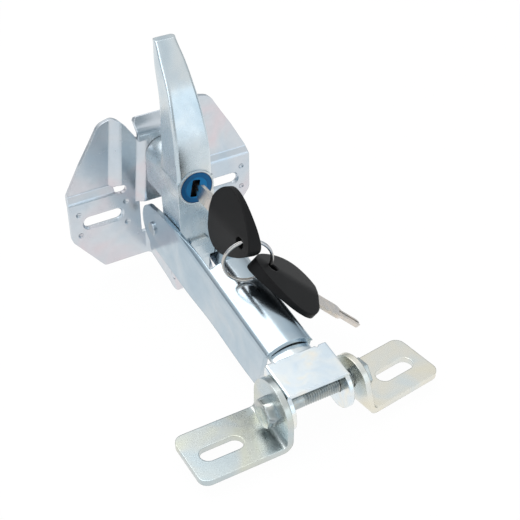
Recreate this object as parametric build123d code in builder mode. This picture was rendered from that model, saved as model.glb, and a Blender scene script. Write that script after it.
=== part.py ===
from build123d import *
import os
from math import cos, radians, sin

os.makedirs("parts", exist_ok=True)

# Clearances between pieces that move
RUN = 0.05        # radial, pin in its hole
SIDE = 0.3        # between a flat flank and the wall beside it

# Bracket sheet, in the frame of the slots: X across, Y into the wall, Z up
SHEET = 2.3
SLOT_X = 34.8
SLOT_LONG = 21.7
SLOT_WIDE = 6.4
PAD_OUT = 53.2
PAD_BOTTOM = -30.3
PAD_TOP = 13.8
STEP_BACK = 3.0
STEP_RUN = 3.4
WINDOW_X = 13.8
WINDOW_LOW = -16.1
WINDOW_TOP = 4.6
CREASE_STEP = 2.7
BEND_OUT = 3.7
BEND_IN = 1.4
WIDE_OUT = 5.5
WIDE_IN = 3.2
CREASE_LEAN = -0.0786
RIDGE_LEAN = -0.0868
FACE_TOP = 46.6
LIP_HALF = 12.6
OPEN_HALF = 7.4
OPEN_LOW = 11.5
OPEN_TOP = 40.5
DIMPLE_X = 13.3
DIMPLE_Z = 6.5
DIMPLE_R = 1.9
DIMPLE_DEPTH = 0.85
RIM_COIN = 0.9

# Hinge pins
PIN_A_Y = -15.35
PIN_A_Z = -6.05
PIN_A_R = 3.0
PIN_A_HEAD_R = 3.6
PIN_A_HEAD = 1.2
PIN_B_Y = -31.6
PIN_B_Z = -27.5
PIN_B_R = 2.5
EAR_OUT = 9.85
EAR_R = 8.5

# Handle
LOCK_Z = 32.05
LOCK_FRONT = -44.2
BOSS_R = 9.6
BOSS_BACK = -5.3
BOSS_LOW = 17.4
BODY_HALF = 9.85
LUG_HALF = EAR_OUT - SHEET - SIDE

# Lock
HOUSING_R = 8.7
HOUSING_BACK = -12.0
PLUG_R = 6.0
KEY_TURN = 12.0
WAFER_T = 1.0
WAFER_PITCH = 2.2
TAIL_R = 3.0
CAM_FRONT = -2.3
CAM_T = 2.0
CAM_REACH = 8.7
SCREW_R = 1.5
SCREW_HEAD_R = 2.9
SCREW_DEEP = 9.0
CLIP_T = 1.0
CLIP_GAP = 0.2
CLIP_IN_R = 2.3
CLIP_OUT_R = 6.6

# Keys
KEY_LONG = 39.2
RIDGE_T = 6.5
RIM_T = 2.6
KEY_WIDE = 17.2
BLADE_LONG = 30.0
BLADE_IN = 9.0
BLADE_WIDE = 8.5
BLADE_SLIM = 4.4
SHOULDER_END = 15.0
BLADE_T = 1.9
KEY_1_ROOT = -63.7
RING_R = 11.8
WIRE_R = 1.0

# Arm, tongue, bolt and feet
BOLT_Y = -153.2
BOLT_Z = -17.6
BOLT_R = 4.0
HEAD_FLATS = 13.0
HEAD_T = 5.0
BOLT_LONG = 50.0
NUT_T = 4.0
FOOT_T = 3.0
FOOT_OUT = 20.77
FOOT_LONG = 42.4
FOOT_HALF = 15.2
FOOT_DROP = 12.7
FOOT_BEND = 2.2
LOBE_R = 15.27
RIGHT_LOBE_R = 11.8
FOOT_SLOT_X = 25.5
FOOT_SLOT_LONG = 21.5
FOOT_SLOT_WIDE = 8.6
RIGHT_EAR_IN = 21.15
RIGHT_YAW = 7.6
LOOSE_R = 4.6
ARM_PITCH = 7.81
ARM_T = 2.5
ARM_HALF = BODY_HALF + SIDE + ARM_T
ARM_BEND_X = ARM_HALF - 3.35
ARM_BEND_Z = 13.35
ARM_BEND_LOW = 9.6
ARM_EDGE_Z = 12.8
ARM_CROWN_Z = 16.2
ARM_A_Y = (PIN_A_Y - BOLT_Y) * cos(radians(ARM_PITCH)) + (PIN_A_Z - BOLT_Z) * sin(radians(ARM_PITCH))
ARM_A_Z = (PIN_A_Z - BOLT_Z) * cos(radians(ARM_PITCH)) - (PIN_A_Y - BOLT_Y) * sin(radians(ARM_PITCH))
ARM_LOBE = 13.0
WEB_END = 79.5
TONGUE_HALF = 16.4
TONGUE_T = 2.3
TONGUE_R = 11.8
SHOULDER_Y = 15.0
TAIL_TOP = 9.9
TAIL_GAP = 0.3
TAIL_END = 50.0

# Upper half of one bracket side: centre face, crease, strip, ridge and the panel set back,
# drawn as sections seen from below and drawn out along the leaning crease and ridge
with BuildPart() as upper_sheet:
    crease_x = 15.3
    with BuildSketch(Plane.XY.offset(WINDOW_TOP)):
        with BuildLine():
            FilletPolyline(
                (-2.0, -SHEET - CREASE_STEP),
                (crease_x - 3.4, -SHEET - CREASE_STEP),
                (crease_x, -SHEET),
                (24.0, -SHEET),
                (24.0, 0.0),
                (crease_x - 0.8, 0.0),
                (crease_x - 4.2, -CREASE_STEP),
                (-2.0, -CREASE_STEP),
                radius=(0, WIDE_OUT, WIDE_IN, 0, 0, WIDE_OUT, WIDE_IN, 0),
                close=True,
            )
        make_face()
    extrude(amount=54.0, dir=(CREASE_LEAN, 0, 1))
    ridge_x = 24.4
    with BuildSketch(Plane.XY.offset(PAD_TOP + STEP_RUN - 0.87)):
        with BuildLine():
            FilletPolyline(
                (20.5, -SHEET),
                (ridge_x, -SHEET),
                (ridge_x + 4.2, STEP_BACK - SHEET),
                (56.5, STEP_BACK - SHEET),
                (56.5, STEP_BACK),
                (ridge_x + 3.46, STEP_BACK),
                (ridge_x - 0.74, 0.0),
                (20.5, 0.0),
                radius=(0, WIDE_OUT, WIDE_IN, 0, 0, WIDE_OUT, WIDE_IN, 0),
                close=True,
            )
        make_face()
    extrude(amount=44.0, dir=(RIDGE_LEAN, 0, 1))
    with BuildSketch(Plane.YZ.offset(27.2)):
        with BuildLine():
            FilletPolyline(
                (-SHEET, PAD_TOP - 4.0),
                (-SHEET, PAD_TOP),
                (STEP_BACK - SHEET, PAD_TOP + STEP_RUN),
                (STEP_BACK - SHEET, PAD_TOP + STEP_RUN + 3.0),
                (STEP_BACK, PAD_TOP + STEP_RUN + 3.0),
                (STEP_BACK, PAD_TOP + STEP_RUN - 0.87),
                (0.0, PAD_TOP - 0.87),
                (0.0, PAD_TOP - 4.0),
                radius=(0, BEND_OUT, BEND_IN, 0, 0, BEND_OUT, BEND_IN, 0),
                close=True,
            )
        make_face()
    extrude(amount=PAD_OUT - 27.2)
    with BuildSketch(Plane.XZ.offset(-STEP_BACK - 2.0)):
        with BuildLine():
            FilletPolyline(
                (-2.0, WINDOW_TOP),
                (PAD_OUT, WINDOW_TOP),
                (PAD_OUT, PAD_TOP - 0.5),
                (52.2, 17.9),
                (43.8, 33.3),
                (37.3, 43.8),
                (31.5, 53.6),
                (22.6, 56.0),
                (18.05, 50.9),
                (11.4, 40.4),
                (11.8, 43.6),
                (-2.0, 43.6),
                radius=(0, 0, 4, 3, 25, 25, 7, 5, 4, 0.5, 0, 0),
                close=True,
            )
        make_face()
    extrude(amount=20.0, mode=Mode.INTERSECT)

# The bracket: one pressed sheet, the right half drawn and mirrored
with BuildPart() as wing_bracket:
    add(upper_sheet.part)
    with BuildSketch(Plane.XZ):
        with BuildLine():
            FilletPolyline(
                (WINDOW_X, PAD_BOTTOM),
                (36.6, PAD_BOTTOM),
                (52.6, -9.8),
                (PAD_OUT, -7.5),
                (PAD_OUT, PAD_TOP - 1.0),
                (24.0, PAD_TOP - 1.0),
                (22.0, WINDOW_TOP + 4.0),
                (16.5, WINDOW_TOP + 4.0),
                (16.5, WINDOW_TOP),
                (WINDOW_X, WINDOW_TOP),
                radius=(0, 3, 3, 1.2, 0, 0, 0, 0, 0.5, 0),
                close=True,
            )
        make_face()
    extrude(amount=SHEET)
    # Lip that leans back over the face
    with BuildSketch(Plane.YZ.offset(-1.0)):
        with BuildLine():
            face = -SHEET - CREASE_STEP
            FilletPolyline(
                (face, FACE_TOP - 5.0),
                (face, FACE_TOP),
                (-1.2, 49.5),
                (1.6, 52.9),
                (3.4, 51.4),
                (0.35, 47.65),
                (face + SHEET, 45.5),
                (face + SHEET, FACE_TOP - 5.0),
                radius=(0, 5, 9, 0.6, 0.6, 11, 2.7, 0),
                close=True,
            )
        make_face()
    extrude(amount=LIP_HALF + 1.0)
    with BuildSketch(Plane.XZ.offset(-5.0)):
        with BuildLine():
            Polyline((LIP_HALF, 50.4), (LIP_HALF, 56.0), (LIP_HALF - 4.0, 56.0), close=True)
        make_face()
    extrude(amount=12.0, mode=Mode.SUBTRACT)
    # Slot, its four dimples and the relief hole where the steps meet
    with BuildSketch(Plane.XZ.offset(-1.0)):
        with Locations((SLOT_X, 0)):
            SlotOverall(SLOT_LONG, SLOT_WIDE)
        with Locations((23.9, 14.6)):
            SlotOverall(6.6, 4.6)
        with Locations((0, (OPEN_LOW + OPEN_TOP) / 2)):
            SlotOverall(OPEN_TOP - OPEN_LOW, 2 * OPEN_HALF, rotation=90)
    extrude(amount=8.0, mode=Mode.SUBTRACT)
    with BuildSketch(Plane.XZ.offset(SHEET - RIM_COIN)):
        with Locations((SLOT_X, 0)):
            SlotOverall(SLOT_LONG + 0.1, SLOT_WIDE + 0.1)
    extrude(amount=RIM_COIN + 0.2, taper=-45, mode=Mode.SUBTRACT)
    with Locations(
        (SLOT_X - DIMPLE_X, -SHEET - DIMPLE_R + DIMPLE_DEPTH, DIMPLE_Z),
        (SLOT_X + DIMPLE_X, -SHEET - DIMPLE_R + DIMPLE_DEPTH, DIMPLE_Z),
        (SLOT_X - DIMPLE_X, -SHEET - DIMPLE_R + DIMPLE_DEPTH, -DIMPLE_Z),
        (SLOT_X + DIMPLE_X, -SHEET - DIMPLE_R + DIMPLE_DEPTH, -DIMPLE_Z),
    ):
        Sphere(DIMPLE_R, mode=Mode.SUBTRACT)
    mirror(about=Plane.YZ)

# Hinge ear of the right side with its bend, cut to its side view
with BuildPart() as ear:
    with BuildSketch(Plane.XY.offset(-42.0)):
        with BuildLine():
            FilletPolyline(
                (EAR_OUT, -48.0),
                (EAR_OUT, -SHEET),
                (WINDOW_X + 1.0, -SHEET),
                (WINDOW_X + 1.0, 0.0),
                (EAR_OUT - SHEET, 0.0),
                (EAR_OUT - SHEET, -48.0),
                radius=(0, SHEET, 0, 0, 2 * SHEET, 0),
                close=True,
            )
        make_face()
    extrude(amount=30.0)
    with BuildSketch(Plane.YZ.offset(0.0)):
        with BuildLine():
            FilletPolyline(
                (0.5, WINDOW_LOW),
                (0.5, PAD_BOTTOM),
                (-4.5, PAD_BOTTOM),
                (PIN_B_Y - 1.35, PIN_B_Z - EAR_R + 0.1),
                (PIN_B_Y, PIN_B_Z),
                (PIN_B_Y - 0.6, PIN_B_Z + EAR_R - 0.02),
                (-8.0, WINDOW_LOW - 0.9),
                radius=(0, 0, 0.5, 0, 0, 0, 5),
                close=True,
            )
        make_face()
        with Locations((PIN_B_Y, PIN_B_Z)):
            Circle(EAR_R)
            Circle(PIN_B_R, mode=Mode.SUBTRACT)
    extrude(amount=30.0, mode=Mode.INTERSECT)
    mirror(about=Plane.YZ)

with BuildPart() as bracket:
    add(wing_bracket.part)
    add(ear.part)
bracket.part.label = "wing_bracket"
export_step(bracket.part, "parts/wing_bracket.step")

# Flush pin through the ears
with BuildPart() as bracket_pin:
    with Locations(Location((0, PIN_B_Y, PIN_B_Z), (0, 90, 0))):
        Cylinder(PIN_B_R, 2 * EAR_OUT)
    chamfer(bracket_pin.edges(), 0.5)
bracket_pin.part.label = "bracket_pin"
export_step(bracket_pin.part, "parts/bracket_pin.step")

# Handle: a lofted lever over a cast body with the lock boss, the rear boss and the lug
with BuildPart() as lever:
    lever_rows = (
        (36.0, -43.2, -23.2, 9.6),
        (44.7, -43.0, -24.1, 9.5),
        (52.7, -42.1, -24.6, 9.4),
        (62.1, -40.1, -23.9, 8.95),
        (74.0, -35.9, -22.2, 8.1),
        (81.6, -32.2, -19.2, 7.4),
        (88.6, -27.6, -16.5, 6.9),
        (95.2, -22.4, -14.6, 6.2),
        (101.0, -17.6, -13.3, 5.6),
    )
    for height, front, rear, half in lever_rows:
        with BuildSketch(Plane(origin=(0, (front + rear) / 2, height), x_dir=(1, 0, 0), z_dir=(0, 0, 1))):
            RectangleRounded(2 * half, rear - front, 1.9)
    loft()

with BuildPart() as handle:
    with BuildSketch(Plane.YZ) as body_side:
        with BuildLine():
            FilletPolyline(
                (-43.4, 36.0),
                (-43.4, -1.0),
                (-41.8, -14.5),
                (-24.0, -15.2),
                (PIN_A_Y, PIN_A_Z),
                (-23.7, 8.4),
                (-22.6, 22.0),
                (-23.4, 36.0),
                radius=(0, 14, 3, 2, 0, 5, 5, 0),
                close=True,
            )
        make_face()
        with Locations((PIN_A_Y, PIN_A_Z)):
            Circle(6.2)
        with BuildLine():
            Polyline(
                (-24.0, -14.0),
                (PIN_A_Y - 1.2, PIN_A_Z - 6.08),
                (PIN_A_Y - 3.6, PIN_A_Z + 5.0),
                (-25.0, 4.0),
                close=True,
            )
        make_face()
    extrude(amount=BODY_HALF, both=True)
    with BuildSketch(Plane.YZ) as lug_side:
        with BuildLine():
            Polyline(
                (-42.0, -10.0),
                (-41.7, -15.0),
                (PIN_B_Y - 7.9, PIN_B_Z - 1.0),
                (PIN_B_Y, PIN_B_Z - 2.0),
                (PIN_B_Y + 8.0, PIN_B_Z),
                (-22.6, -14.0),
                (-24.0, -10.0),
                close=True,
            )
        make_face()
        with Locations((PIN_B_Y, PIN_B_Z)):
            Circle(8.0)
    extrude(amount=LUG_HALF, both=True)
    add(lever.part)
    with BuildSketch(Plane.XZ.offset(-LOCK_FRONT)):
        with Locations((0, LOCK_Z)):
            Circle(BOSS_R)
    extrude(amount=LOCK_FRONT - BOSS_BACK)
    with BuildSketch(Plane.XZ.offset(24.0)):
        with Locations((0, (BOSS_LOW + LOCK_Z) / 2)):
            Rectangle(2 * BOSS_R, LOCK_Z - BOSS_LOW)
    extrude(amount=-24.0 - BOSS_BACK)
    # Small raised tab under the lock
    with BuildSketch(Plane.XZ.offset(43.0)):
        with Locations((0, -1.0)):
            RectangleRounded(10.6, 4.2, 1.2)
    extrude(amount=2.6)
    with BuildSketch(Plane.XZ.offset(-LOCK_FRONT + 1.0)):
        with Locations((0, LOCK_Z)):
            Circle(HOUSING_R)
    extrude(amount=LOCK_FRONT - 1.0 - HOUSING_BACK, mode=Mode.SUBTRACT)
    with BuildSketch(Plane.XZ.offset(-HOUSING_BACK)):
        with Locations((0, LOCK_Z)):
            Circle(7.4)
    extrude(amount=-3.2, mode=Mode.SUBTRACT)
    with BuildSketch(Plane.XZ.offset(-HOUSING_BACK)):
        with Locations((0, LOCK_Z)):
            Circle(TAIL_R + SIDE)
    extrude(amount=-8.0, mode=Mode.SUBTRACT)
    with Locations(Location((0, PIN_A_Y, PIN_A_Z), (0, 90, 0))):
        Cylinder(PIN_A_R + RUN, 30.0, mode=Mode.SUBTRACT)
    with Locations(Location((0, PIN_B_Y, PIN_B_Z), (0, 90, 0))):
        Cylinder(PIN_B_R + RUN, 30.0, mode=Mode.SUBTRACT)
handle.part.label = "handle"
export_step(handle.part, "parts/handle.step")

# Cylinder lock: housing fixed in the boss, plug turning in it
with BuildPart() as lock_housing:
    with BuildSketch(Plane.XZ.offset(-LOCK_FRONT)):
        with Locations((0, LOCK_Z)):
            Circle(HOUSING_R)
            Circle(PLUG_R + RUN, mode=Mode.SUBTRACT)
    extrude(amount=LOCK_FRONT - HOUSING_BACK)
lock_housing.part.label = "lock_housing"
export_step(lock_housing.part, "parts/lock_housing.step")

lean = (sin(radians(KEY_TURN)), 0, cos(radians(KEY_TURN)))
across = (-cos(radians(KEY_TURN)), 0, sin(radians(KEY_TURN)))
face_plane = Plane(origin=(0, LOCK_FRONT, LOCK_Z), x_dir=lean, z_dir=(0, -1, 0))
WAFER_WIDE = 7.0
WAFER_HIGH = 9.4
wafer_depths = (-4.0, -6.2, -8.4, -10.6, -12.8)

with BuildPart() as lock_plug:
    with BuildSketch(face_plane):
        Circle(PLUG_R)
    extrude(amount=LOCK_FRONT - HOUSING_BACK)
    with BuildSketch(face_plane.offset(LOCK_FRONT - HOUSING_BACK)):
        Circle(TAIL_R)
    extrude(amount=HOUSING_BACK - CAM_FRONT)
    with BuildSketch(face_plane.offset(LOCK_FRONT - CAM_FRONT)):
        Rectangle(4.0, 4.0)
    extrude(amount=-CAM_T)
    with BuildSketch(face_plane.offset(1.0)):
        Rectangle(BLADE_SLIM + 0.2, BLADE_T + 0.2)
    extrude(amount=-16.5, mode=Mode.SUBTRACT)
    # Wide mouth of the key slot, set off to one side of the blade
    with BuildSketch(face_plane):
        with Locations((-0.3, 0.7)):
            RectangleRounded(9.6, 4.2, 0.8)
    extrude(amount=-2.5, mode=Mode.SUBTRACT)
    for depth in wafer_depths:
        with BuildSketch(face_plane.offset(depth)):
            Rectangle(WAFER_HIGH, WAFER_WIDE)
        extrude(amount=WAFER_T, mode=Mode.SUBTRACT)
    with BuildSketch(face_plane.offset(LOCK_FRONT)):
        Circle(SCREW_R)
    extrude(amount=SCREW_DEEP, mode=Mode.SUBTRACT)
    with BuildSketch(face_plane.offset(LOCK_FRONT - HOUSING_BACK - CLIP_GAP)) as clip_groove:
        Circle(TAIL_R + 1.0)
        Circle(CLIP_IN_R, mode=Mode.SUBTRACT)
    extrude(amount=-CLIP_T, mode=Mode.SUBTRACT)
    with BuildSketch(face_plane.offset(LOCK_FRONT - CAM_FRONT - CAM_T)):
        Circle(SCREW_HEAD_R)
    extrude(amount=SCREW_HEAD_R - SCREW_R, taper=45, mode=Mode.SUBTRACT)
lock_plug.part.label = "lock_plug"
export_step(lock_plug.part, "parts/lock_plug.step")

# Five wafers that the blade passes through
with BuildPart() as lock_wafers:
    for depth in wafer_depths:
        with BuildSketch(face_plane.offset(depth)):
            Rectangle(WAFER_HIGH, WAFER_WIDE)
            Rectangle(BLADE_SLIM + 0.2, BLADE_T + 0.2, mode=Mode.SUBTRACT)
        extrude(amount=WAFER_T)
lock_wafers.part.label = "lock_wafers"
export_step(lock_wafers.part, "parts/lock_wafers.step")

# Open clip in the groove of the plug's tail
with BuildPart() as lock_clip:
    with BuildSketch(face_plane.offset(LOCK_FRONT - HOUSING_BACK - CLIP_GAP)):
        Circle(CLIP_OUT_R)
        Circle(CLIP_IN_R, mode=Mode.SUBTRACT)
        with Locations((CLIP_OUT_R, 0)):
            Rectangle(CLIP_OUT_R, CLIP_IN_R * 1.6, mode=Mode.SUBTRACT)
    extrude(amount=-CLIP_T)
lock_clip.part.label = "lock_clip"
export_step(lock_clip.part, "parts/lock_clip.step")

# Pawl behind the bracket, pointing down while the lock is open, and its countersunk screw
with BuildPart() as lock_cam:
    with BuildSketch(Plane(origin=(0, CAM_FRONT + CAM_T, LOCK_Z), x_dir=(1, 0, 0), z_dir=(0, -1, 0))):
        Circle(4.6)
        with BuildLine():
            FilletPolyline(
                (-3.6, 0),
                (-3.3, -CAM_REACH),
                (3.3, -CAM_REACH),
                (3.6, 0),
                radius=(0, 1.6, 1.6, 0),
                close=True,
            )
        make_face()
        Rectangle(4.0, 4.0, rotation=90 - KEY_TURN, mode=Mode.SUBTRACT)
    extrude(amount=CAM_T)
    with BuildSketch(face_plane.offset(LOCK_FRONT - CAM_FRONT - CAM_T)):
        Circle(SCREW_HEAD_R)
    extrude(amount=SCREW_HEAD_R - SCREW_R, taper=45, mode=Mode.SUBTRACT)
lock_cam.part.label = "lock_cam"
export_step(lock_cam.part, "parts/lock_cam.step")

with BuildPart() as cam_screw:
    with BuildSketch(face_plane.offset(LOCK_FRONT - CAM_FRONT - CAM_T)):
        Circle(SCREW_HEAD_R)
    extrude(amount=SCREW_HEAD_R - SCREW_R, taper=45)
    with BuildSketch(face_plane.offset(LOCK_FRONT - CAM_FRONT - CAM_T + 0.5)):
        Circle(SCREW_R)
    extrude(amount=SCREW_DEEP - 1.5)
    with BuildSketch(face_plane.offset(LOCK_FRONT - CAM_FRONT - CAM_T)):
        Rectangle(3.2, 0.6)
        Rectangle(0.6, 3.2)
    extrude(amount=0.7, mode=Mode.SUBTRACT)
cam_screw.part.label = "cam_screw"
export_step(cam_screw.part, "parts/cam_screw.step")

# Keys: a rounded three-cornered head with a ridge on each side, and a flat blade set into it.
# The outline is a little lopsided, and the spare key hangs with its other side up
key_1 = Plane(origin=(0, KEY_1_ROOT, LOCK_Z), x_dir=(0, -1, 0), z_dir=across)
key_2_along = Vector(-0.7038, 0.3213, 0.6336).normalized()
key_2_up = Vector(-0.5793, 0.2566, -0.7736).normalized()
key_2 = Plane(origin=(30.24, -107.26, -6.16), x_dir=key_2_along, z_dir=key_2_up)
KEY_EDGE = (
    (0.0, 6.5),
    (4.6, 13.4),
    (11.0, KEY_WIDE),
    (18.0, 17.0),
    (27.0, 12.6),
    (34.0, 7.2),
    (38.0, 2.4),
    (KEY_LONG, -1.2),
    (36.2, -5.8),
    (28.0, -11.4),
    (19.0, -15.8),
    (10.5, -18.3),
    (4.2, -16.8),
    (0.8, -12.6),
    (0.0, -6.5),
)

key_places = ((1, key_1, 30.8, -1.1, 5.0), (2, key_2, 28.5, 0.0, 4.2))
for number, key_plane, hole_at, hole_side, hole in key_places:
    section = Plane(origin=key_plane.origin, x_dir=key_plane.y_dir, z_dir=key_plane.x_dir)
    with BuildPart() as key_head:
        with BuildSketch(key_plane.offset(-RIDGE_T)):
            with BuildLine():
                Spline(*KEY_EDGE)
                Line(KEY_EDGE[-1], KEY_EDGE[0])
            make_face()
        extrude(amount=2 * RIDGE_T)
        with BuildSketch(section.offset(-2.0)):
            with BuildLine():
                FilletPolyline(
                    (0, RIDGE_T / 2 + 0.3),
                    (KEY_WIDE + 1, RIM_T / 2),
                    (KEY_WIDE + 1, -RIM_T / 2),
                    (0, -RIDGE_T / 2 - 0.3),
                    (-KEY_WIDE - 1, -RIM_T / 2),
                    (-KEY_WIDE - 1, RIM_T / 2),
                    radius=(22, 0, 0, 22, 0, 0),
                    close=True,
                )
            make_face()
        extrude(amount=KEY_LONG + 4.0, mode=Mode.INTERSECT)
        with BuildSketch(key_plane.offset(-RIDGE_T)):
            with Locations((hole_at, hole_side)):
                SlotOverall(hole + 1.6, hole)
        extrude(amount=2 * RIDGE_T, mode=Mode.SUBTRACT)
        with BuildSketch(key_plane.offset(-BLADE_T / 2)):
            with Locations((BLADE_IN / 2 - 5.0, 0)):
                Rectangle(BLADE_IN + 10.0, BLADE_WIDE)
        extrude(amount=BLADE_T, mode=Mode.SUBTRACT)
    key_head.part.label = f"key_{number}_head"
    export_step(key_head.part, f"parts/key_{number}_head.step")

    with BuildPart() as key_blade:
        with BuildSketch(key_plane.offset(-BLADE_T / 2)):
            with BuildLine():
                FilletPolyline(
                    (BLADE_IN, -BLADE_WIDE / 2),
                    (BLADE_IN, BLADE_WIDE / 2),
                    (-SHOULDER_END, BLADE_WIDE / 2),
                    (-SHOULDER_END - 3.0, BLADE_SLIM / 2),
                    (1.6 - BLADE_LONG, BLADE_SLIM / 2),
                    (-BLADE_LONG, 0.9),
                    (-BLADE_LONG, -0.9),
                    (1.6 - BLADE_LONG, -BLADE_SLIM / 2),
                    (-SHOULDER_END - 3.0, -BLADE_SLIM / 2),
                    (-SHOULDER_END, -BLADE_WIDE / 2),
                    radius=(0, 0, 1.2, 1.2, 0.8, 0.4, 0.4, 0.8, 1.2, 1.2),
                    close=True,
                )
            make_face()
        extrude(amount=BLADE_T)
        # Milled groove on both flanks
        for side in (BLADE_T / 2 - 0.4, -BLADE_T / 2 - 0.6):
            with BuildSketch(key_plane.offset(side)):
                with Locations((-(SHOULDER_END + BLADE_LONG) / 2 - 1.0, 0.4)):
                    Rectangle(BLADE_LONG - SHOULDER_END, 1.3)
            extrude(amount=1.0, mode=Mode.SUBTRACT)
    key_blade.part.label = f"key_{number}_blade"
    export_step(key_blade.part, f"parts/key_{number}_blade.step")

# Split ring through both heads
with BuildPart() as split_ring:
    with Locations(Plane(origin=(0.45, -95.0, 20.0), z_dir=(-0.3, -0.95, -0.05))):
        Torus(RING_R, WIRE_R)
split_ring.part.label = "split_ring"
export_step(split_ring.part, "parts/split_ring.step")

# Arm and tongue are drawn in a frame on the bolt axis, turned up by the arm's pitch
arm_along = (0, cos(radians(ARM_PITCH)), sin(radians(ARM_PITCH)))
arm_up = (0, -sin(radians(ARM_PITCH)), cos(radians(ARM_PITCH)))
arm_back = (0, -cos(radians(ARM_PITCH)), -sin(radians(ARM_PITCH)))
arm_side = Plane(origin=(0, BOLT_Y, BOLT_Z), x_dir=arm_along, z_dir=(1, 0, 0))
arm_front = Plane(origin=(0, BOLT_Y, BOLT_Z), x_dir=(1, 0, 0), z_dir=arm_back)
arm_top = Plane(origin=(0, BOLT_Y, BOLT_Z), x_dir=(1, 0, 0), z_dir=arm_up)

# Clevis tongue: U with round cheeks, its tail crowned to follow the arm it reaches into
with BuildPart() as tongue:
    with BuildSketch(arm_front.offset(TONGUE_R)):
        with BuildLine():
            FilletPolyline(
                (-TONGUE_HALF, -TONGUE_R - 1.0),
                (-TONGUE_HALF, ARM_EDGE_Z),
                (TONGUE_HALF, ARM_EDGE_Z),
                (TONGUE_HALF, -TONGUE_R - 1.0),
                (TONGUE_HALF - TONGUE_T, -TONGUE_R - 1.0),
                (TONGUE_HALF - TONGUE_T, ARM_EDGE_Z - TONGUE_T),
                (-TONGUE_HALF + TONGUE_T, ARM_EDGE_Z - TONGUE_T),
                (-TONGUE_HALF + TONGUE_T, -TONGUE_R - 1.0),
                radius=(0, 1.2, 1.2, 0, 0, 0.3, 0.3, 0),
                close=True,
            )
        make_face()
    extrude(amount=-TONGUE_R - SHOULDER_Y)
    with BuildSketch(arm_side):
        Circle(TONGUE_R)
        with BuildLine():
            FilletPolyline(
                (-5.3, 0.0),
                (-5.3, ARM_EDGE_Z + 1.0),
                (SHOULDER_Y, ARM_EDGE_Z + 1.0),
                (SHOULDER_Y, 7.5),
                (11.4, 1.0),
                (11.0, 0.0),
                radius=0,
                close=True,
            )
        make_face()
        Circle(BOLT_R + RUN, mode=Mode.SUBTRACT)
    extrude(amount=TONGUE_HALF + 1.0, both=True, mode=Mode.INTERSECT)
    tail_half = ARM_HALF - ARM_T
    tail_crown = ARM_EDGE_Z
    tail_edge = TAIL_TOP - TAIL_GAP
    with BuildSketch(arm_front.offset(2.0 - SHOULDER_Y)):
        with BuildLine():
            ThreePointArc((-tail_half, tail_edge), (0, tail_crown), (tail_half, tail_edge))
            Line((tail_half, tail_edge), (tail_half, tail_edge - TONGUE_T))
            ThreePointArc(
                (tail_half, tail_edge - TONGUE_T),
                (0, tail_crown - TONGUE_T),
                (-tail_half, tail_edge - TONGUE_T),
            )
            Line((-tail_half, tail_edge - TONGUE_T), (-tail_half, tail_edge))
        make_face()
    extrude(amount=SHOULDER_Y - 2.0 - TAIL_END)
    with BuildSketch(arm_top):
        with Locations((ARM_HALF - ARM_T + 0.9, SHOULDER_Y), (-ARM_HALF + ARM_T - 0.9, SHOULDER_Y)):
            Circle(0.9)
    extrude(amount=ARM_EDGE_Z + 2.0, mode=Mode.SUBTRACT)
tongue.part.label = "tongue"
export_step(tongue.part, "parts/tongue.step")

# Channel arm: crowned web with two walls, each ending in a round lobe about the handle pin
with BuildPart() as arm_channel:
    with BuildSketch(arm_front):
        with BuildLine():
            bend_mid = (ARM_HALF - 1.1, ARM_BEND_LOW + 2.5)
            Line((-ARM_HALF, -24.0), (-ARM_HALF, ARM_BEND_LOW))
            ThreePointArc((-ARM_HALF, ARM_BEND_LOW), (-bend_mid[0], bend_mid[1]), (-ARM_BEND_X, ARM_BEND_Z))
            ThreePointArc((-ARM_BEND_X, ARM_BEND_Z), (0, ARM_CROWN_Z), (ARM_BEND_X, ARM_BEND_Z))
            ThreePointArc((ARM_BEND_X, ARM_BEND_Z), bend_mid, (ARM_HALF, ARM_BEND_LOW))
            Line((ARM_HALF, ARM_BEND_LOW), (ARM_HALF, -24.0))
            Line((ARM_HALF, -24.0), (ARM_HALF - ARM_T, -24.0))
            Line((ARM_HALF - ARM_T, -24.0), (ARM_HALF - ARM_T, TAIL_TOP))
            ThreePointArc(
                (ARM_HALF - ARM_T, TAIL_TOP),
                (0, ARM_CROWN_Z - ARM_T),
                (ARM_T - ARM_HALF, TAIL_TOP),
            )
            Line((ARM_T - ARM_HALF, TAIL_TOP), (ARM_T - ARM_HALF, -24.0))
            Line((ARM_T - ARM_HALF, -24.0), (-ARM_HALF, -24.0))
        make_face()
    extrude(amount=-(ARM_A_Y + 20.0))
    with BuildSketch(arm_side):
        with BuildLine():
            Line((20.3, 18.0), (20.3, 10.4))
            Line((20.3, 10.4), (21.6, 9.7))
            Line((21.6, 9.7), (23.3, -5.5))
            Line((23.3, -5.5), (25.6, -12.9))
            ThreePointArc((25.6, -12.9), (27.0, -14.7), (29.0, -15.2))
            Spline((29.0, -15.2), (57.4, -16.0), (72.7, -16.1), (94.1, -18.3), (120.1, -19.4), (136.6, -20.2))
            Line((136.6, -20.2), (ARM_A_Y, ARM_A_Z))
            Line((ARM_A_Y, ARM_A_Z), (140.0, 5.57))
            Spline((140.0, 5.57), (127.4, 9.0), (113.6, 11.2), (95.6, 12.8), (WEB_END + 3.5, 13.1))
            Line((WEB_END + 3.5, 13.1), (WEB_END, 13.4))
            Line((WEB_END, 13.4), (WEB_END, 18.0))
            Line((WEB_END, 18.0), (20.3, 18.0))
        make_face()
        with Locations((ARM_A_Y, ARM_A_Z)):
            Circle(ARM_LOBE)
            Circle(PIN_A_R, mode=Mode.SUBTRACT)
    extrude(amount=ARM_HALF + 1.0, both=True, mode=Mode.INTERSECT)
    # The rear of the walls is trimmed straight inside, so the handle fits between them
    with BuildSketch(arm_top.offset(-30.0)):
        with Locations((0, WEB_END + ARM_A_Y / 2)):
            Rectangle(2 * (ARM_HALF - ARM_T), ARM_A_Y)
    extrude(amount=60.0, mode=Mode.SUBTRACT)
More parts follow.
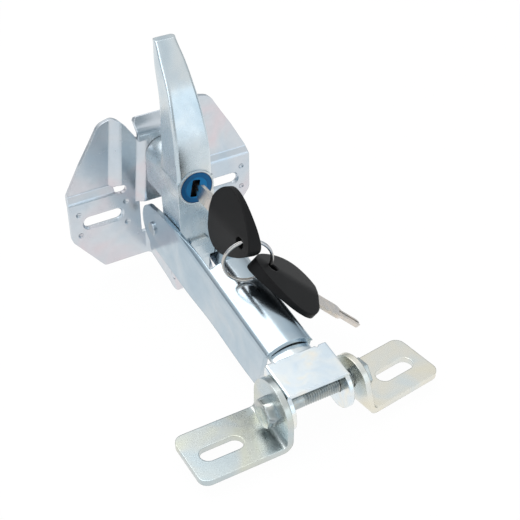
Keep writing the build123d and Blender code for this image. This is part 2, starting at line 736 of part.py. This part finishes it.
arm_channel.part.label = "arm_channel"
export_step(arm_channel.part, "parts/arm_channel.step")

# Riveted pin that the handle's rear boss turns on
with BuildPart() as handle_pin:
    with Locations(Location((0, PIN_A_Y, PIN_A_Z), (0, 90, 0))):
        Cylinder(PIN_A_R, 2 * ARM_HALF)
    for side in (1, -1):
        with Locations(Location((side * (ARM_HALF + PIN_A_HEAD / 2), PIN_A_Y, PIN_A_Z), (0, 90, 0))):
            Cylinder(PIN_A_HEAD_R, PIN_A_HEAD)
    fillet(handle_pin.faces().sort_by(Axis.X)[0].edges(), 0.4)
    fillet(handle_pin.faces().sort_by(Axis.X)[-1].edges(), 0.4)
handle_pin.part.label = "handle_pin"
export_step(handle_pin.part, "parts/handle_pin.step")

# Hexagon bolt and thin nut
bolt_plane = Plane(origin=(-FOOT_OUT, BOLT_Y, BOLT_Z), x_dir=(0, 0, 1), z_dir=(1, 0, 0))
with BuildPart() as hinge_bolt:
    with BuildSketch(bolt_plane):
        RegularPolygon(HEAD_FLATS / 2, 6, major_radius=False, rotation=51.4)
    extrude(amount=-HEAD_T)
    with BuildSketch(bolt_plane.offset(-HEAD_T)):
        Circle(HEAD_FLATS / 2 + 0.1)
    extrude(amount=HEAD_T, taper=-60, mode=Mode.INTERSECT)
    with BuildSketch(bolt_plane):
        Circle(BOLT_R)
    extrude(amount=BOLT_LONG)
    chamfer(hinge_bolt.faces().sort_by(Axis.X)[-1].edges(), 0.9)
hinge_bolt.part.label = "hinge_bolt"
export_step(hinge_bolt.part, "parts/hinge_bolt.step")

with BuildPart() as hinge_nut:
    with BuildSketch(bolt_plane.offset(BOLT_LONG - NUT_T)):
        RegularPolygon(HEAD_FLATS / 2, 6, major_radius=False, rotation=20.0)
        Circle(BOLT_R, mode=Mode.SUBTRACT)
    extrude(amount=NUT_T)
hinge_nut.part.label = "hinge_nut"
export_step(hinge_nut.part, "parts/hinge_nut.step")

# Angle feet, drawn on the left and mirrored; the right one also turned about its ear hole
for side, name in ((-1, "left_foot"), (1, "right_foot")):
    ear_in = FOOT_OUT - FOOT_T if side < 0 else RIGHT_EAR_IN
    hole_r = BOLT_R + RUN if side < 0 else LOOSE_R
    lobe_r = LOBE_R if side < 0 else RIGHT_LOBE_R
    base_top = 0.0 if side < 0 else -8.0
    yaw = 0.0 if side < 0 else radians(RIGHT_YAW)
    across_foot = (side * cos(yaw), side * sin(yaw), 0)
    ahead = (-sin(yaw), cos(yaw), 0) if side > 0 else (0, 1, 0)
    corner = (side * ear_in, BOLT_Y, BOLT_Z)
    foot_section = Plane(origin=corner, x_dir=across_foot, z_dir=(across_foot[1], -across_foot[0], 0))
    foot_side = Plane(origin=corner, x_dir=ahead, z_dir=(ahead[1], -ahead[0], 0))
    foot_plan = Plane(origin=corner, x_dir=across_foot, z_dir=(0, 0, side))
    reach = FOOT_LONG + FOOT_T
    with BuildPart() as foot:
        with BuildSketch(foot_section):
            with BuildLine():
                FilletPolyline(
                    (0, LOBE_R + 1.0),
                    (0, -FOOT_DROP),
                    (reach, -FOOT_DROP),
                    (reach, FOOT_T - FOOT_DROP),
                    (FOOT_T, FOOT_T - FOOT_DROP),
                    (FOOT_T, LOBE_R + 1.0),
                    radius=(0, FOOT_BEND + FOOT_T, 0, 0, FOOT_BEND, 0),
                    close=True,
                )
            make_face()
        extrude(amount=FOOT_HALF, both=True)
        with BuildSketch(foot_side):
            Circle(lobe_r)
            with BuildLine():
                Polyline(
                    (-FOOT_HALF, -LOBE_R),
                    (FOOT_HALF, -LOBE_R),
                    (FOOT_HALF, base_top),
                    (0.947 * lobe_r, 0.322 * lobe_r if side > 0 else 0.0),
                    (-0.947 * lobe_r, 0.322 * lobe_r if side > 0 else 0.0),
                    (-FOOT_HALF, base_top),
                    close=True,
                )
            make_face()
            Circle(hole_r, mode=Mode.SUBTRACT)
        extrude(amount=2 * reach, both=True, mode=Mode.INTERSECT)
        with BuildSketch(foot_plan):
            with Locations((reach / 2 - 10.0, 0)):
                RectangleRounded(reach + 20.0, 2 * FOOT_HALF, 5.0)
            with Locations((FOOT_SLOT_X + FOOT_T, -0.9)):
                SlotOverall(FOOT_SLOT_LONG, FOOT_SLOT_WIDE, mode=Mode.SUBTRACT)
        extrude(amount=3 * LOBE_R, both=True, mode=Mode.INTERSECT)
    foot.part.label = name
    export_step(foot.part, f"parts/{name}.step")
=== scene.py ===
import bpy
import numpy as np
from mathutils import Matrix, Vector


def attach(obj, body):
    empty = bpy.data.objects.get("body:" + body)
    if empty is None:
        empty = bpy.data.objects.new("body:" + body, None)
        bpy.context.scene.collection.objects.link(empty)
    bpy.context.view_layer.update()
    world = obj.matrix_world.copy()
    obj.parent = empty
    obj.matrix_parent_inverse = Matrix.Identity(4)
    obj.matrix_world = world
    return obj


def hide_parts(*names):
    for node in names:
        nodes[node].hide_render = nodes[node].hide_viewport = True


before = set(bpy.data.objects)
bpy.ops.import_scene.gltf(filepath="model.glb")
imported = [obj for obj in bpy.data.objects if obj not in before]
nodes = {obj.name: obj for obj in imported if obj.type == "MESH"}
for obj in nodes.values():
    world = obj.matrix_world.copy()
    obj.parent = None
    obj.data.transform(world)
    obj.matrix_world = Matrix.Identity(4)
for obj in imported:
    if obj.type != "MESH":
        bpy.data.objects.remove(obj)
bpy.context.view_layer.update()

scene = bpy.context.scene
scene.view_settings.view_transform = "Standard"


# Camera. The photo was taken from the front left and about 37 degrees above, with a long
# lens: a place, a view direction and a focal length worked out from the latch's own edges.
camera_place = Vector((-0.1957, -0.4492, 0.3293))
camera_right = Vector((0.868, -0.497, 0.0)).normalized()
camera_look = Vector((0.395, 0.690, -0.6065)).normalized()
camera_up = camera_right.cross(camera_look)
camera_data = bpy.data.cameras.new("camera")
camera_data.lens = 75.04
camera_data.sensor_width = 36.0
camera_data.clip_start = 0.01
camera = bpy.data.objects.new("camera", camera_data)
scene.collection.objects.link(camera)
camera_turn = Matrix((camera_right, camera_up, -camera_look)).transposed().to_4x4()
camera.matrix_world = Matrix.Translation(camera_place) @ camera_turn
scene.camera = camera


# Studio. White paper under a bright ceiling, with the room darker towards the horizon, so
# that plated steel shows soft bands from light to grey. Three soft boxes light it: one above,
# one at the left, and a low one in front for the face of the handle.


def linear(hex_colour):
    """sRGB hex to linear RGBA: each channel through the standard curve."""
    channels = [int(hex_colour[i : i + 2], 16) / 255 for i in (1, 3, 5)]
    return [c / 12.92 if c <= 0.04045 else ((c + 0.055) / 1.055) ** 2.4 for c in channels] + [1.0]


def add(tree, kind, settings=None, **links):
    """Adds one node. Settings go by name or by input. Each link is an input = the output of
    another node, with an underscore for a space, or in0, in1 and so on for an input's number."""
    node = tree.nodes.new(kind)
    for name, value in (settings or {}).items():
        if isinstance(name, int) or name in node.inputs:
            node.inputs[name].default_value = value
        else:
            setattr(node, name, value)
    for name, output in links.items():
        by_number = name.startswith("in") and name[2:].isdigit()
        target = node.inputs[int(name[2:]) if by_number else name.replace("_", " ")]
        tree.links.new(output, target)
    return node


def ramp(tree, fac, stops):
    """A colour ramp over fac, given as pairs of position and colour."""
    node = add(tree, "ShaderNodeValToRGB", Fac=fac)
    while len(node.color_ramp.elements) < len(stops):
        node.color_ramp.elements.new(0.5)
    for element, (position, colour) in zip(node.color_ramp.elements, stops):
        element.position = position
        element.color = colour
    return node.outputs["Color"]


def new_finish(name):
    """A material with an empty node tree, and the tree."""
    material = bpy.data.materials.new(name)
    material.use_nodes = True
    material.node_tree.nodes.clear()
    return material, material.node_tree


# The room goes by height, from straight down at 0 over the horizon at 0.5 to the ceiling at 1.
room_tones = (
    (0.0, linear("#9AA2AA")),
    (0.48, linear("#868D93")),
    (0.62, linear("#BCC2C6")),
    (0.78, linear("#E6E9EB")),
    (1.0, linear("#FFFFFF")),
)
world = bpy.data.worlds.new("studio")
scene.world = world
world.use_nodes = True
sky = world.node_tree
sky.nodes.clear()
sky_coord = add(sky, "ShaderNodeTexCoord")
sky_axes = add(sky, "ShaderNodeSeparateXYZ", Vector=sky_coord.outputs["Generated"])
sky_height = add(
    sky,
    "ShaderNodeMapRange",
    {"From Min": -1.0, "From Max": 1.0},
    Value=sky_axes.outputs["Z"],
)
sky_colour = ramp(sky, sky_height.outputs[0], room_tones)
sky_light = add(sky, "ShaderNodeBackground", {"Strength": 1.0}, Color=sky_colour)
add(sky, "ShaderNodeOutputWorld", Surface=sky_light.outputs[0])

# The paper lies just below the bracket's ears. To the camera and in reflections it shows
# mostly as plain white, and the rest of it takes the light and the shadows.
paper_height = -0.0365
paper_half = 6.0
paper_plain_share = 0.97
paper_mesh = bpy.data.meshes.new("floor")
paper_corners = [
    (x * paper_half, y * paper_half, paper_height) for x, y in ((-1, -1), (1, -1), (1, 1), (-1, 1))
]
paper_mesh.from_pydata(paper_corners, [], [(0, 1, 2, 3)])
floor = bpy.data.objects.new("floor", paper_mesh)
scene.collection.objects.link(floor)
paper, sweep = new_finish("white_paper")
paper_lit = add(sweep, "ShaderNodeBsdfDiffuse", {"Color": linear("#FBFBFB")})
paper_plain = add(sweep, "ShaderNodeEmission", {"Color": linear("#FFFFFF"), "Strength": 1.0})
ray = add(sweep, "ShaderNodeLightPath")
paper_seen = add(
    sweep,
    "ShaderNodeMath",
    {"operation": "MAXIMUM"},
    in0=ray.outputs["Is Camera Ray"],
    in1=ray.outputs["Is Glossy Ray"],
)
paper_seen_at_all = add(
    sweep,
    "ShaderNodeMath",
    {"operation": "MAXIMUM"},
    in0=paper_seen.outputs[0],
    in1=ray.outputs["Is Transmission Ray"],
)
paper_share = add(
    sweep,
    "ShaderNodeMath",
    {"operation": "MULTIPLY", 1: paper_plain_share},
    in0=paper_seen_at_all.outputs[0],
)
paper_mix = add(
    sweep,
    "ShaderNodeMixShader",
    in0=paper_share.outputs[0],
    in1=paper_lit.outputs[0],
    in2=paper_plain.outputs[0],
)
add(sweep, "ShaderNodeOutputMaterial", Surface=paper_mix.outputs[0])
paper_mesh.materials.append(paper)

# Each soft box: its place and its two sides in metres, its watts and its colour.
soft_boxes_aim = Vector((0, -0.07, 0.0))
for name, place, size, power, colour in (
    ("ceiling_box", (-0.15, 0.25, 0.95), (0.9, 0.9), 4.2, "#FFFFFF"),
    ("left_box", (-0.95, -0.35, 0.55), (0.5, 0.9), 2.4, "#F4F9FF"),
    ("front_box", (0.45, -1.15, 0.3), (1.1, 0.7), 1.9, "#EAF6FF"),
):
    lamp_data = bpy.data.lights.new(name, "AREA")
    lamp_data.shape = "RECTANGLE"
    lamp_data.size, lamp_data.size_y = size
    lamp_data.energy = power
    lamp_data.color = linear(colour)[:3]
    lamp = bpy.data.objects.new(name, lamp_data)
    scene.collection.objects.link(lamp)
    lamp.location = place
    lamp.rotation_mode = "QUATERNION"
    lamp.rotation_quaternion = (soft_boxes_aim - Vector(place)).to_track_quat("-Z", "Y")


# Wing bracket, with its pin and the lock's cam. Pressed steel sheet in bright zinc: cold
# silver, with faint rose and blue clouds from the passivation. The rivet through the arm's
# walls is plated too, in smaller clouds.


def plated(
    name, tints, roughness, cloud_mm=16.0, wave_mm=11.0, wave=0.00005, grain=0.000002, edge=0.45
):
    """Metal in three tints that change in soft clouds, with a rougher and smoother patchwork,
    a shallow waviness of the sheet, a fine grain, painted shade that darkens the inner corners,
    and edges that look rounded by edge millimetres. Wave and grain are heights in metres."""
    smear_mm = 5.0
    grain_mm = 0.5  # real plating is finer, and drawn this coarse it shows
    painted_shade_reach = 0.003
    material, tree = new_finish(name)
    coord = add(tree, "ShaderNodeTexCoord").outputs["Object"]

    clouds = add(
        tree,
        "ShaderNodeTexNoise",
        {"Scale": 1000.0 / cloud_mm, "Detail": 2.0, "Roughness": 0.5, "Distortion": 0.6},
        Vector=coord,
    )
    low, middle, high = (linear(tint) for tint in tints)
    tint = ramp(tree, clouds.outputs["Fac"], ((0.32, low), (0.5, middle), (0.68, high)))

    smears = add(
        tree,
        "ShaderNodeTexNoise",
        {"Scale": 1000.0 / smear_mm, "Detail": 5.0, "Roughness": 0.65},
        Vector=coord,
    )
    rough = add(
        tree,
        "ShaderNodeMapRange",
        {
            "From Min": 0.3,
            "From Max": 0.7,
            "To Min": roughness * 0.9,
            "To Max": roughness * 1.12,
        },
        Value=smears.outputs["Fac"],
    )
    smear_shade = add(
        tree,
        "ShaderNodeMapRange",
        {"From Min": 0.3, "From Max": 0.75, "To Min": 1.02, "To Max": 0.96},
        Value=smears.outputs["Fac"],
    )
    mottled = add(
        tree,
        "ShaderNodeVectorMath",
        {"operation": "SCALE"},
        in0=tint,
        Scale=smear_shade.outputs[0],
    )

    # Painted shade: the piece's own ambient occlusion darkens the base colour in its inner corners
    # and creases.
    corners = add(
        tree,
        "ShaderNodeAmbientOcclusion",
        {"samples": 8, "only_local": True, "Distance": painted_shade_reach},
    )
    painted_corner_shade = add(
        tree,
        "ShaderNodeMapRange",
        {"From Min": 0.25, "From Max": 0.85, "To Min": 0.35, "To Max": 1.0},
        Value=corners.outputs["AO"],
    )
    shaded_in_corners = add(
        tree,
        "ShaderNodeVectorMath",
        {"operation": "SCALE"},
        in0=mottled.outputs[0],
        Scale=painted_corner_shade.outputs[0],
    )

    waves = add(
        tree, "ShaderNodeTexNoise", {"Scale": 1000.0 / wave_mm, "Detail": 1.0}, Vector=coord
    )
    fine = add(
        tree, "ShaderNodeTexNoise", {"Scale": 1000.0 / grain_mm, "Detail": 1.0}, Vector=coord
    )
    edges = add(tree, "ShaderNodeBevel", {"samples": 10, "Radius": edge / 1000.0})
    waved = add(
        tree,
        "ShaderNodeBump",
        {"Strength": 1.0, "Distance": wave},
        Height=waves.outputs["Fac"],
        Normal=edges.outputs["Normal"],
    )
    grained = add(
        tree,
        "ShaderNodeBump",
        {"Strength": 1.0, "Distance": grain},
        Height=fine.outputs["Fac"],
        Normal=waved.outputs["Normal"],
    )
    shader = add(
        tree,
        "ShaderNodeBsdfPrincipled",
        {"Metallic": 1.0},
        Base_Color=shaded_in_corners.outputs[0],
        Roughness=rough.outputs[0],
        Normal=grained.outputs["Normal"],
    )
    add(tree, "ShaderNodeOutputMaterial", Surface=shader.outputs[0])
    return material


def dress(node, material):
    """Puts one material on a node of the part."""
    nodes[node].data.materials.clear()
    nodes[node].data.materials.append(material)


bright_zinc = plated(
    "bright_zinc_on_pressed_sheet",
    ("#D7D0D5", "#CED4DA", "#C3CFD9"),
    0.25,
    cloud_mm=24.0,
    edge=0.4,
)
for piece in ("wing_bracket", "bracket_pin", "lock_cam"):
    dress(piece, bright_zinc)
rivet_steel = plated(
    "bright_zinc_on_rivet",
    ("#C6C6C2", "#BFC6CB", "#B4BEC7"),
    0.24,
    cloud_mm=4.0,
    edge=0.3,
)
dress("handle_pin", rivet_steel)


# Handle. One zinc die casting, barrel polished and plated: satin, pale blue to grey, with
# brighter and darker clouds where the polish is uneven.
cast_zinc = plated(
    "plated_die_cast_zinc",
    ("#C2D0D8", "#D3DDE2", "#E0E3E2"),
    0.27,
    cloud_mm=20.0,
    wave=0.00008,
    edge=0.5,
)
dress("handle", cast_zinc)


# Lock. A turned metal housing and plug in blue lacquer, navy towards the rim of each, with
# painted shade in black inside the key slot. Behind them lie the wafers, the clip and the screw,
# of plain steel.
lock_axis = (0.0, 0.0, 0.03205)
# Painted shade: behind these depths from the face, the key slot is coloured black.
slot_shade_from, slot_shade_to = -0.0441, -0.0438
rim_blend = 0.0007
rim_navy = linear("#04264C")
slot_painted_shade = linear("#030405")


def lock_lacquer(name, centre_blue, rim_start):
    """Lacquer over metal. The distance from the lock's axis turns its blue to navy from
    rim_start on, and the depth behind the face turns it to black inside the key slot: painted
    shade."""
    material, tree = new_finish(name)
    coord = add(tree, "ShaderNodeTexCoord").outputs["Object"]
    from_axis = add(
        tree,
        "ShaderNodeVectorMath",
        {"operation": "SUBTRACT", 1: lock_axis},
        in0=coord,
    )
    across = add(
        tree,
        "ShaderNodeVectorMath",
        {"operation": "MULTIPLY", 1: (1, 0, 1)},
        in0=from_axis.outputs[0],
    )
    radius = add(tree, "ShaderNodeVectorMath", {"operation": "LENGTH"}, in0=across.outputs[0])
    rim = add(
        tree,
        "ShaderNodeMapRange",
        {"From Min": rim_start, "From Max": rim_start + rim_blend},
        Value=radius.outputs["Value"],
    )
    blue = ramp(tree, rim.outputs[0], ((0.0, linear(centre_blue)), (1.0, rim_navy)))
    # Painted shade in the key slot: the depth behind the face blends the colour to black.
    depth = add(tree, "ShaderNodeSeparateXYZ", Vector=coord)
    inside = add(
        tree,
        "ShaderNodeMapRange",
        {"From Min": slot_shade_from, "From Max": slot_shade_to},
        Value=depth.outputs["Y"],
    )
    colour = add(
        tree,
        "ShaderNodeMix",
        {"data_type": "RGBA", "blend_type": "MIX", 7: slot_painted_shade},
        in0=inside.outputs[0],
        in6=blue,
    )
    edge = add(tree, "ShaderNodeBevel", {"samples": 6, "Radius": 0.0004})
    shader = add(
        tree,
        "ShaderNodeBsdfPrincipled",
        {"Metallic": 0.7, "Roughness": 0.35, "Coat Weight": 0.2, "Coat Roughness": 0.15},
        Base_Color=colour.outputs[2],
        Normal=edge.outputs["Normal"],
    )
    add(tree, "ShaderNodeOutputMaterial", Surface=shader.outputs[0])
    return material


dress("lock_housing", lock_lacquer("blue_lacquered_housing", "#035A8E", 0.0080))
dress("lock_plug", lock_lacquer("blue_lacquered_plug", "#0672AC", 0.0057))
inner_steel = plated(
    "plain_steel",
    ("#7F7C78", "#8C8C8A", "#96989A"),
    0.4,
    cloud_mm=6.0,
    edge=0.2,
)
for piece in ("lock_wafers", "lock_clip", "cam_screw"):
    dress(piece, inner_steel)


# Keys. Stamped steel blades, nickel plated and so a little warm, set in heads of black ABS.
# The mould's fine grain keeps the plastic satin, with wide and soft reflections.
nickel = plated(
    "nickel_plated_key_steel",
    ("#E2D8CE", "#DAD3CB", "#CFCDCB"),
    0.26,
    cloud_mm=5.0,
    wave_mm=4.0,
    wave=0.00002,
    edge=0.2,
)
dress("key_1_blade", nickel)
dress("key_2_blade", nickel)

mould_grain_mm = 0.45
mould_cloud_mm = 11.0
black_abs, abs_tree = new_finish("black_moulded_abs")
abs_coord = add(abs_tree, "ShaderNodeTexCoord").outputs["Object"]
abs_grain = add(
    abs_tree,
    "ShaderNodeTexNoise",
    {"Scale": 1000.0 / mould_grain_mm, "Detail": 2.0},
    Vector=abs_coord,
)
abs_cloud = add(
    abs_tree,
    "ShaderNodeTexNoise",
    {"Scale": 1000.0 / mould_cloud_mm, "Detail": 3.0},
    Vector=abs_coord,
)
abs_colour = ramp(
    abs_tree,
    abs_cloud.outputs["Fac"],
    ((0.3, linear("#070708")), (0.7, linear("#0D0D0E"))),
)
abs_edge = add(abs_tree, "ShaderNodeBevel", {"samples": 8, "Radius": 0.0012})
abs_bump = add(
    abs_tree,
    "ShaderNodeBump",
    {"Strength": 0.25, "Distance": 0.00008},
    Height=abs_grain.outputs["Fac"],
    Normal=abs_edge.outputs["Normal"],
)
abs_shader = add(
    abs_tree,
    "ShaderNodeBsdfPrincipled",
    {"Roughness": 0.5, "IOR": 1.5, "Specular IOR Level": 0.2},
    Base_Color=abs_colour,
    Normal=abs_bump.outputs["Normal"],
)
add(abs_tree, "ShaderNodeOutputMaterial", Surface=abs_shader.outputs[0])
dress("key_1_head", black_abs)
dress("key_2_head", black_abs)


# Split ring. Hard nickel plated wire of an oval section, wound almost twice round into two
# close coils, with one jog where the wire passes from the first coil to the second.
ring_centre = np.array((0.45, -95.0, 20.0))
ring_axis = np.array((-0.3, -0.95, -0.05))
ring_radius = 11.8
coil_offset = 0.48
wire_half_width, wire_half_height = 0.74, 0.45
wire_start, wire_end = np.radians((22.0, 698.0))
jog_start, jog_length = np.radians((338.0, 44.0))
wire_turn = 2.2
wire_stations, wire_sides = 300, 20


def rod_piece(name, points, ends, material):
    """A closed, smooth mesh over a grid of points, with one row for each station along the
    piece and one column for each place around it: four-sided faces between neighbouring
    stations, and a fan of triangles from the first and the last station to the end points."""
    rows, columns = points.shape[:2]
    column = np.arange(columns)
    after = (column + 1) % columns
    here = columns * np.arange(rows - 1)[:, None]
    there = here + columns
    walls = np.stack((here + column, here + after, there + after, there + column), axis=-1)
    last_row = (rows - 1) * columns
    first_end = np.full(columns, rows * columns)
    last_end = first_end + 1
    first_fan = np.column_stack((first_end, after, column))
    last_fan = np.column_stack((last_end, last_row + column, last_row + after))
    faces = walls.reshape(-1, 4).tolist() + first_fan.tolist() + last_fan.tolist()
    mesh = bpy.data.meshes.new(name)
    mesh.from_pydata(np.vstack((points.reshape(-1, 3), ends)).tolist(), [], faces)
    mesh.polygons.foreach_set("use_smooth", np.ones(len(faces), dtype=bool))
    mesh.materials.append(material)
    piece = bpy.data.objects.new(name, mesh)
    scene.collection.objects.link(piece)
    return piece


def coil_points():
    """An oval section carried along a circle that is gone round almost twice. The distance
    from the ring's middle plane is minus the offset on the first round and plus the offset
    on the second, with a smooth step from one to the other along the jog."""
    axis = ring_axis / np.linalg.norm(ring_axis)
    first = np.cross(axis, (0.0, 0.0, 1.0))
    first = first / np.linalg.norm(first)
    second = np.cross(axis, first)
    way = np.linspace(wire_start, wire_end, wire_stations)
    jog = np.clip((way - jog_start) / jog_length, 0.0, 1.0)
    height = coil_offset * (2.0 * (3.0 * jog**2 - 2.0 * jog**3) - 1.0)
    outward = np.outer(np.cos(way + wire_turn), first) + np.outer(np.sin(way + wire_turn), second)
    centre = ring_centre + ring_radius * outward + np.outer(height, axis)
    around = np.linspace(0.0, 2.0 * np.pi, wire_sides, endpoint=False)
    wire = (
        centre[:, None, :]
        + wire_half_width * np.cos(around)[None, :, None] * outward[:, None, :]
        + wire_half_height * np.sin(around)[None, :, None] * axis
    )
    return wire / 1000.0, centre[[0, -1]] / 1000.0


ring_steel = plated(
    "nickel_plated_spring_wire",
    ("#D0C8BE", "#C9C6C2", "#BCBEC2"),
    0.16,
    cloud_mm=6.0,
    edge=0.1,
)
dress("split_ring", ring_steel)
double_coil = rod_piece("double_coil", *coil_points(), ring_steel)
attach(double_coil, "lock")
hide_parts("split_ring")


# Arm and tongue. A channel pressed from bright plated sheet, cold blue, with reflections that
# are clear but a little soft, and a paler bent clevis welded into its front end.
arm_plate = plated(
    "bright_plated_arm",
    ("#A9BCC9", "#B6C5CF", "#C4CDD3"),
    0.2,
    cloud_mm=26.0,
    wave_mm=16.0,
    wave=0.00006,
    edge=0.7,
)
tongue_plate = plated(
    "bright_plated_tongue",
    ("#EFEEE6", "#E4ECF0", "#D9E6EF"),
    0.2,
    cloud_mm=12.0,
    edge=0.6,
)
dress("arm_channel", arm_plate)
dress("tongue", tongue_plate)


# Hinge bolt and nut. A cold forged M8 bolt, 13 mm across its flats, with a rolled thread, and
# a thin nut, both in a greyer zinc that dulls the steel to satin.
bolt_y, bolt_z = -153.2, -17.6
head_start, head_seat = -25.77, -20.77
thread_start, thread_tip = -5.5, 29.23
hexagon_across, hexagon_turn = 13.0, np.radians(51.4)
head_face_radius, head_chamfer_radius, head_chamfer_slope = 3.0, 6.15, 1.6
head_chamfer_stations = np.array((0.0, 0.12, 0.25, 0.4, 0.55))
shank_radius, tip_radius, tip_slope = 4.0, 3.1, 1.1
thread_pitch, thread_depth, thread_run_in, thread_step = 1.25, 0.62, 2.0, 0.125
bolt_sides = 96


def bolt_points():
    """Stations along X, each a closed line round the bolt's axis. Head: the distance to a
    hexagon's flats, no more than the cone that chamfers its outer end. Shank: a plain round.
    Thread: that round less a rounded wave whose phase runs on by one turn for each pitch,
    deeper over its first turns, and no more than the cone of the tip. The line of the
    head's seat stands there twice, so that the smooth shading breaks at it."""
    around = np.linspace(0.0, 2.0 * np.pi, bolt_sides, endpoint=False)
    round_line = np.ones(bolt_sides)
    sixth = np.radians(60.0)
    flats = hexagon_across / 2.0 / np.cos((around - hexagon_turn) % sixth - sixth / 2.0)
    chamfer_cone = head_chamfer_radius + head_chamfer_slope * head_chamfer_stations
    chamfer = np.minimum(flats, chamfer_cone[:, None])
    thread_x = np.arange(thread_start - 0.4, thread_tip - 0.001, thread_step)
    wave = 0.5 + 0.5 * np.cos(2.0 * np.pi * thread_x[:, None] / thread_pitch - around)
    run_in = np.clip((thread_x - thread_start + 0.4) / thread_run_in, 0.0, 1.0)
    thread = shank_radius - thread_depth * wave**0.8 * run_in[:, None]
    tip_cone = tip_radius + tip_slope * (thread_tip - thread_x)
    stations = np.concatenate(
        (
            [head_start],
            head_start + head_chamfer_stations,
            [head_seat, head_seat, head_seat, thread_start - 0.5],
            thread_x,
            [thread_tip],
        )
    )
    radii = np.vstack(
        (
            head_face_radius * round_line,
            chamfer,
            flats,
            flats,
            shank_radius * round_line,
            shank_radius * round_line,
            np.minimum(thread, tip_cone[:, None]),
            tip_radius * round_line,
        )
    )
    grid = np.stack(
        (
            np.outer(stations, round_line),
            bolt_y + radii * np.cos(around),
            bolt_z + radii * np.sin(around),
        ),
        axis=-1,
    )
    ends = np.array(((head_start, bolt_y, bolt_z), (thread_tip, bolt_y, bolt_z)))
    return grid / 1000.0, ends / 1000.0


bolt_zinc = plated(
    "zinc_plated_bolt",
    ("#C2C3BE", "#B3B9B8", "#A0ABB0"),
    0.28,
    cloud_mm=5.0,
    edge=0.35,
)
dress("hinge_bolt", bolt_zinc)
dress("hinge_nut", bolt_zinc)
threaded_bolt = rod_piece("threaded_bolt", *bolt_points(), bolt_zinc)
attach(threaded_bolt, "arm")
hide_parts("hinge_bolt")


# Feet. Two angles pressed from thicker sheet, in a warmer zinc than the arm: faintly green
# on the left foot and straw on the right, satin and evenly clouded.
foot_left_zinc = plated(
    "zinc_on_left_foot",
    ("#CDD0C4", "#C8CDCA", "#BECACE"),
    0.27,
    cloud_mm=18.0,
    edge=0.6,
)
foot_right_zinc = plated(
    "zinc_on_right_foot",
    ("#E6E1D0", "#E3E1D7", "#D9DFDE"),
    0.27,
    cloud_mm=18.0,
    edge=0.6,
)
dress("left_foot", foot_left_zinc)
dress("right_foot", foot_right_zinc)
